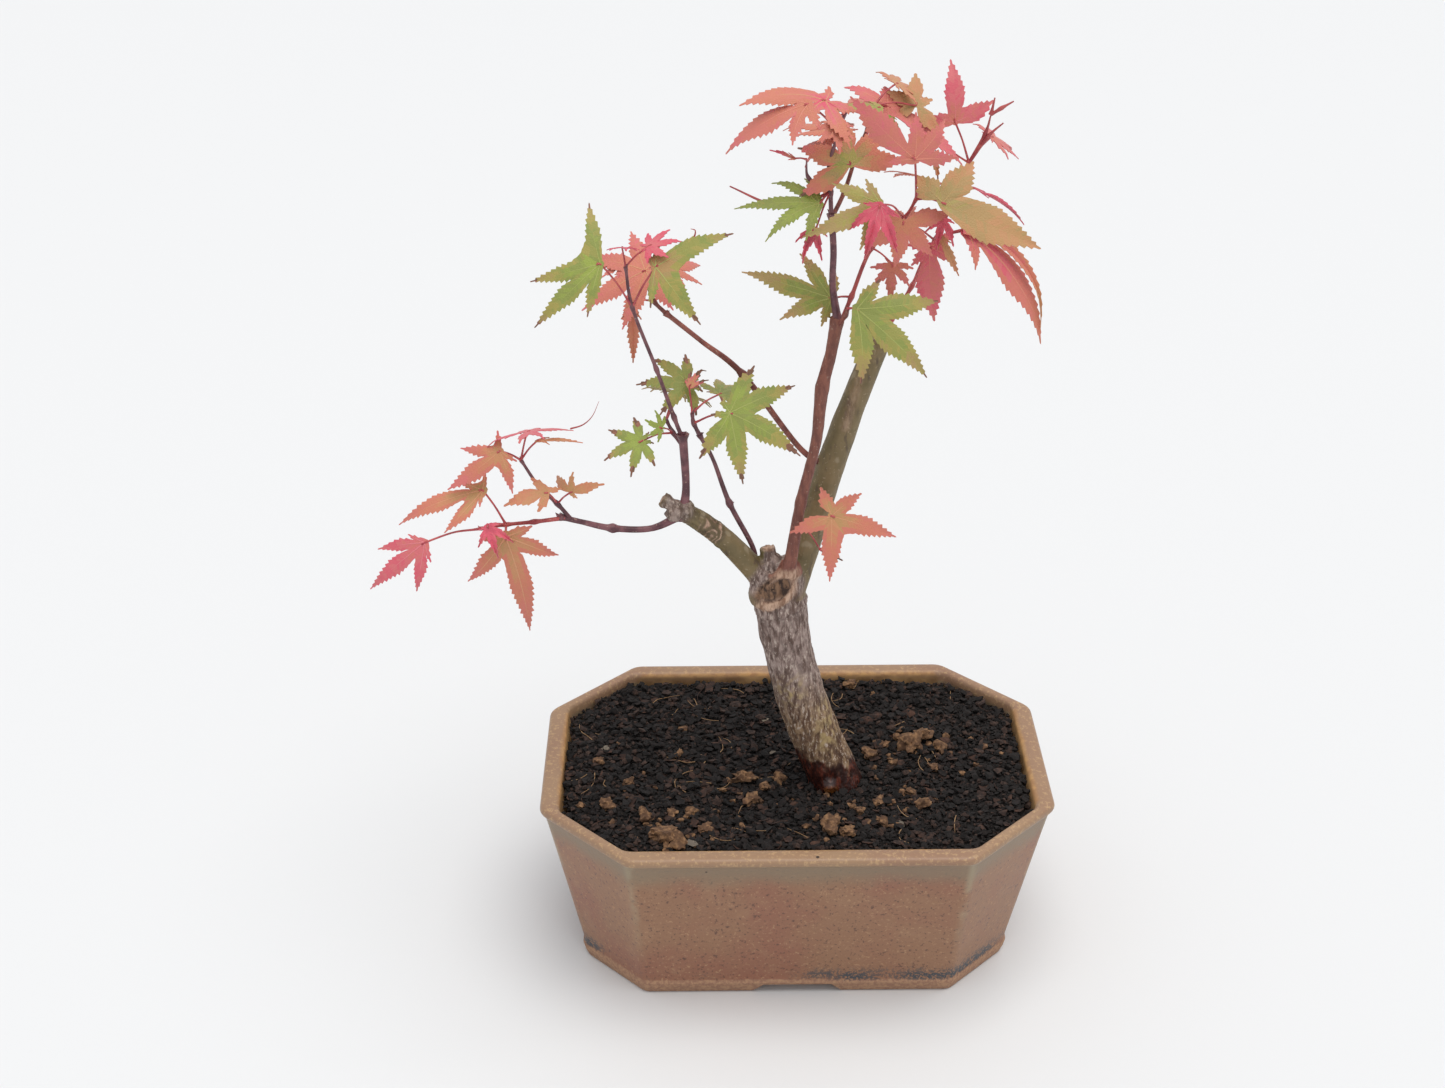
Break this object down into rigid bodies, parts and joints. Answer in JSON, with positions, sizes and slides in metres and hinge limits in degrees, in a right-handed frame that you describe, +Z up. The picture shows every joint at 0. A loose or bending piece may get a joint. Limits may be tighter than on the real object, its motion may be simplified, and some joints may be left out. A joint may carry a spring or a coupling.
{
  "type": "japanese maple bonsai in a pot",
  "caption": "Small japanese maple bonsai in autumn leaf, growing in an eight-sided glazed pot filled with dark soil.",
  "frame": {"origin": "on the ground, under the middle of the bounding box of plant and pot together", "axes": "+Z up the tree, +X to the right along the pot's length as seen from the front, +Y to the back"},
  "size_m": [0.2572, 0.14, 0.3519],
  "materials": {
    "pot_glaze": "reddish brown glaze with dark specks",
    "potting_soil": "dark crumbly compost",
    "grey_bark": "finely cracked grey-brown bark",
    "olive_bark": "smooth olive-brown bark with pale marks",
    "red_bark": "smooth red-brown young bark",
    "dark_bark": "smooth purple-brown young bark",
    "green_leaf": "dull leaf, still green",
    "olive_leaf": "dull leaf, tan and olive",
    "orange_leaf": "dull leaf, turned orange",
    "salmon_leaf": "dull leaf, turned salmon",
    "pink_leaf": "dull leaf, turned pink-red"
  },
  "bodies": {
    "root": {"pot": "pot_glaze", "soil": "potting_soil", "trunk": "grey_bark", "bough_left": "olive_bark", "bough_right": "olive_bark", "bough_front": "red_bark", "limb_low": "dark_bark", "limb_middle": "dark_bark", "limb_inner": "dark_bark", "limb_back": "red_bark", "limb_crown": "dark_bark", "foliage_low_outer": "pink_leaf", "foliage_low_inner": "orange_leaf", "foliage_upper_left": "green_leaf", "foliage_upper_back": "orange_leaf", "foliage_middle_left": "green_leaf", "foliage_middle_right": "green_leaf", "foliage_fork": "orange_leaf", "foliage_crown_left": "salmon_leaf", "foliage_crown_low": "green_leaf", "foliage_crown_middle": "olive_leaf", "foliage_crown_right": "salmon_leaf", "foliage_crown_top": "salmon_leaf"}
  },
  "joints": []
}
